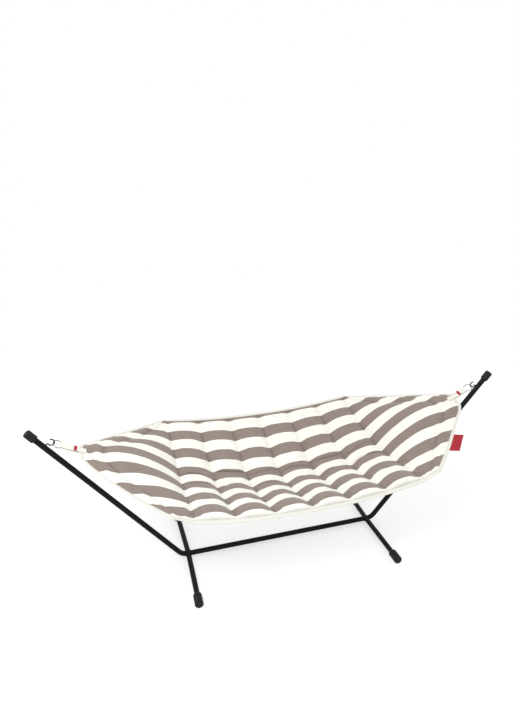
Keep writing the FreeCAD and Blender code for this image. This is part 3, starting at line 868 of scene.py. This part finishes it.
def sew_strap(side_name, side):
    """A boxed cross of stitches on both plies where they hold the pad's tip."""
    near, far = STRAP_END - 0.042, STRAP_END - 0.006
    wide = STRAP_HALF - 0.005
    corners = [(near, -wide), (far, -wide), (far, wide), (near, wide), (near, -wide), (far, wide)]
    corners += [(near, wide), (far, -wide)]
    lines = []
    for layer in (1, -1):
        for (d0, y0), (d1, y1) in zip(corners, corners[1:]):
            line = []
            for step in range(9):
                distance = mix(d0, d1, step / 8)
                across = mix(y0, y1, step / 8)
                lift = strap_gap(distance) * 1.06 + STRAP_PLY / 2
                low = strap_point(side, distance, across, lift * layer)
                high = strap_point(side, distance, across, (lift + 0.01) * layer)
                line.append((low, (high - low).normalized()))
            lines.append(line)
    sew(side_name + "_strap_stitches", lines, THREAD, "strap_webbing")


# ---------------------------------------------------------------- materials

def new_material(name, color, roughness):
    material = bpy.data.materials.new(name)
    material.use_nodes = True
    shader = material.node_tree.nodes["Principled BSDF"]
    shader.inputs["Base Color"].default_value = (*color, 1)
    shader.inputs["Roughness"].default_value = roughness
    return material


def node(material, kind, **settings):
    made = material.node_tree.nodes.new(kind)
    for key, value in settings.items():
        setattr(made, key, value)
    return made


def link(material, source, target):
    material.node_tree.links.new(source, target)


def shader_of(material):
    return material.node_tree.nodes["Principled BSDF"]


def calculate(material, operation, *values):
    """A math node on sockets or numbers; gives its output socket."""
    made = node(material, "ShaderNodeMath", operation=operation)
    for index, value in enumerate(values):
        if isinstance(value, (int, float)):
            made.inputs[index].default_value = value
        else:
            link(material, value, made.inputs[index])
    return made.outputs[0]


def cloth_place(material):
    """Metres along and across the cloth, and how near a seam is."""
    place_in = node(material, "ShaderNodeAttribute", attribute_name="cloth")
    parts = node(material, "ShaderNodeSeparateXYZ")
    link(material, place_in.outputs["Vector"], parts.inputs[0])
    return place_in.outputs["Vector"], parts.outputs


def mottle(material, vector, scale, low, high, detail=3.0):
    """Noise between two numbers."""
    cloud = node(material, "ShaderNodeTexNoise")
    cloud.inputs["Scale"].default_value = scale
    cloud.inputs["Detail"].default_value = detail
    if vector is not None:
        link(material, vector, cloud.inputs["Vector"])
    spread_out = node(material, "ShaderNodeMapRange")
    spread_out.inputs["From Min"].default_value = 0.3
    spread_out.inputs["From Max"].default_value = 0.7
    spread_out.inputs["To Min"].default_value = low
    spread_out.inputs["To Max"].default_value = high
    link(material, cloud.outputs["Fac"], spread_out.inputs["Value"])
    return spread_out.outputs["Result"]


def weave(material, parts, pitch):
    """Height of a plain weave, from -1 to 1: threads over and under each other."""
    along = calculate(material, "SINE", calculate(material, "MULTIPLY", parts[0], math.tau / pitch))
    across = calculate(material, "SINE", calculate(material, "MULTIPLY", parts[1], math.tau / pitch))
    return calculate(material, "MULTIPLY", along, across)


def bump(material, height, distance, under=None):
    """A bump on the shader, over another one if given."""
    made = node(material, "ShaderNodeBump")
    made.inputs["Distance"].default_value = distance
    link(material, height, made.inputs["Height"])
    if under is not None:
        link(material, under, made.inputs["Normal"])
    link(material, made.outputs[0], shader_of(material).inputs["Normal"])
    return made.outputs[0]


def tint(material, color, shade):
    """A colour, socket or constant, made lighter or darker by a factor socket, as base colour."""
    mixed = node(material, "ShaderNodeVectorMath", operation="SCALE")
    if isinstance(color, tuple):
        mixed.inputs[0].default_value = color
    else:
        link(material, color, mixed.inputs[0])
    link(material, shade, mixed.inputs["Scale"])
    link(material, mixed.outputs[0], shader_of(material).inputs["Base Color"])


def soft_sheen(material, weight):
    shader = shader_of(material)
    shader.inputs["Sheen Weight"].default_value = weight
    shader.inputs["Sheen Roughness"].default_value = 0.5
    shader.inputs["Specular IOR Level"].default_value = 0.25


def striped_cloth():
    """Taupe and off-white stripes along the pad, on a plain weave puckered beside the seams, with
    shade painted into the seam and hem grooves and the creases.
    """
    material = new_material("striped_cloth", (0.8, 0.8, 0.75), 0.9)
    vector, parts = cloth_place(material)
    place_in = node(material, "ShaderNodeAttribute", attribute_name="stripe")
    stripe_parts = node(material, "ShaderNodeSeparateXYZ")
    link(material, place_in.outputs["Vector"], stripe_parts.inputs[0])
    counted = calculate(material, "SUBTRACT", STRIPE_START, stripe_parts.outputs[0])
    phase = calculate(material, "FRACT", calculate(material, "DIVIDE", counted, 2 * STRIPE_SHARE))
    light = calculate(material, "GREATER_THAN", phase, 0.5)
    under = calculate(material, "LESS_THAN", stripe_parts.outputs[1], 0.0)
    plain = calculate(material, "MAXIMUM", light, under)
    colors = node(material, "ShaderNodeMix", data_type="RGBA")
    colors.inputs[6].default_value = TAUPE
    colors.inputs[7].default_value = OFF_WHITE
    link(material, plain, colors.inputs[0])
    thread = mottle(material, vector, 900, 0.93, 1.05)
    fade = mottle(material, vector, 7, 0.96, 1.03)
    # Painted shade: the stripe's third value darkens the colour in grooves and creases, more on taupe
    # than on off-white, never below DARKEST.
    depth = calculate(material, "SUBTRACT", 0.5, calculate(material, "MULTIPLY", plain, 0.4))
    painted_shade_factor = calculate(material, "SUBTRACT", 1.0,
                      calculate(material, "MULTIPLY", stripe_parts.outputs[2], depth))
    painted_shade_factor = calculate(material, "MAXIMUM", DARKEST, painted_shade_factor)
    shade = calculate(material, "MULTIPLY", calculate(material, "MULTIPLY", thread, fade), painted_shade_factor)
    tint(material, colors.outputs[2], shade)
    stretched = node(material, "ShaderNodeMapping")
    stretched.inputs["Scale"].default_value = (9, 55, 1)
    link(material, vector, stretched.inputs["Vector"])
    folds = mottle(material, stretched.outputs[0], 1, -1, 1, 1.0)
    puckers = bump(material, calculate(material, "MULTIPLY", folds, parts[2]), 0.003)
    bump(material, weave(material, parts, 0.0024), 0.00006, puckers)
    soft_sheen(material, 0.15)
    return material


def plain_cloth(name, color, pitch, depth, sheen=0.1):
    """Woven cloth of one colour: fibres of slightly different shades, and painted shade that darkens
    the low places of the weave.
    """
    material = new_material(name, color, 0.88)
    vector, parts = cloth_place(material)
    threads = weave(material, parts, pitch)
    fibres = mottle(material, vector, 700, 0.96, 1.03)
    # Painted shade: raised threads lighter, the hollows of the weave darker.
    ridge_shade = calculate(material, "MULTIPLY_ADD", threads, 0.04, 0.98)
    tint(material, color, calculate(material, "MULTIPLY", fibres, ridge_shade))
    bump(material, threads, depth)
    soft_sheen(material, sheen)
    return material


def webbing_cloth():
    """Cream webbing: cords along its length, crossed by a finer weft."""
    material = new_material("webbing", WEBBING_CREAM, 0.85)
    vector, parts = cloth_place(material)
    cords = calculate(material, "SINE", calculate(material, "MULTIPLY", parts[1], math.tau / 0.0032))
    weft = calculate(material, "SINE", calculate(material, "MULTIPLY", parts[0], math.tau / 0.0017))
    height = calculate(material, "ADD", cords, calculate(material, "MULTIPLY", weft, 0.5))
    fibres = mottle(material, vector, 500, 0.95, 1.03)
    # Painted shade: cords lighter on top, darker between them.
    ridge_shade = calculate(material, "MULTIPLY_ADD", height, 0.05, 0.97)
    tint(material, WEBBING_CREAM, calculate(material, "MULTIPLY", fibres, ridge_shade))
    bump(material, height, 0.0002)
    soft_sheen(material, 0.15)
    return material


def coated_steel(name, color, roughness, grain):
    """Black powder coat: fine orange peel, patches a little duller, and faint scuffs."""
    material = new_material(name, color, roughness)
    position = node(material, "ShaderNodeTexCoord").outputs["Object"]
    link(material, mottle(material, position, 9, roughness - 0.06, roughness + 0.10, 5.0),
         shader_of(material).inputs["Roughness"])
    stretched = node(material, "ShaderNodeMapping")
    stretched.inputs["Scale"].default_value = (5, 40, 40)
    link(material, position, stretched.inputs["Vector"])
    tint(material, color, mottle(material, stretched.outputs[0], 4, 0.8, 1.6, 6.0))
    bump(material, mottle(material, position, grain, -1, 1, 2.0), 0.00005)
    shader_of(material).inputs["Specular IOR Level"].default_value = 0.10
    return material


def moulded_cap():
    """Black moulded rubber: grained, with a little dust in the grain."""
    material = new_material("moulded_cap", CAP_BLACK, 0.6)
    position = node(material, "ShaderNodeTexCoord").outputs["Object"]
    tint(material, CAP_BLACK, mottle(material, position, 30, 0.8, 1.7, 6.0))
    link(material, mottle(material, position, 60, 0.5, 0.68), shader_of(material).inputs["Roughness"])
    bump(material, mottle(material, position, 1400, -1, 1, 1.0), 0.0001)
    shader_of(material).inputs["Specular IOR Level"].default_value = 0.2
    return material


def zinc_steel():
    """Weathered zinc with duller patches and fine rubbing marks."""
    material = new_material("zinc_steel", ZINC_GREY, 0.3)
    shader = shader_of(material)
    shader.inputs["Metallic"].default_value = 1
    position = node(material, "ShaderNodeTexCoord").outputs["Object"]
    tint(material, ZINC_GREY, mottle(material, position, 120, 0.8, 1.08, 5.0))
    link(material, mottle(material, position, 200, 0.22, 0.42), shader.inputs["Roughness"])
    bump(material, mottle(material, position, 900, -1, 1, 2.0), 0.00005)
    return material


def finish_frame_nodes():
    """Give every hard solid of the frame its material."""
    made = {
        "stand_steel": coated_steel("powder_coat", COAT_BLACK, 0.40, 900),
        "weld_steel": coated_steel("coated_weld", COAT_BLACK, 0.44, 240),
        "hook_steel": coated_steel("hook_coat", HOOK_BLACK, 0.34, 1500),
        "cap_rubber": moulded_cap(),
        "ring_steel": zinc_steel(),
    }
    slots = {row["node"]: row["material_slot"] for row in frame["record"]["subparts"]}
    for name, piece in frame["nodes"].items():
        if slots[name] in made:
            piece.data.materials.clear()
            piece.data.materials.append(made[slots[name]])


make_camera()
make_floor()
make_studio()
finish_frame_nodes()

TAPE_CLOTH = plain_cloth("binding_tape", TAPE_CREAM, 0.0022, 0.00015)
WEBBING = webbing_cloth()
LABEL_CLOTH = plain_cloth("label_cloth", LABEL_RED, 0.0011, 0.00006, 0.05)
THREAD = plain_cloth("thread", THREAD_CREAM, 0.0012, 0.00004)

pad, pins, dents = make_pad()
puff_up(pad, pins)
press_creases(pad, dents)
subdivide(pad, 1)
finish_piece(pad, striped_cloth(), "striped_fabric", "left_end_panel", "right_end_panel",
             *[f"quilted_channel_{number}" for number in range(1, CHANNELS + 1)])
sew_tape(make_binding())
sew_pad()
for side_name, side in SIDES.items():
    make_strap(side_name, side)
    make_strap_label(side_name, side)
    sew_strap(side_name, side)
make_side_tag()
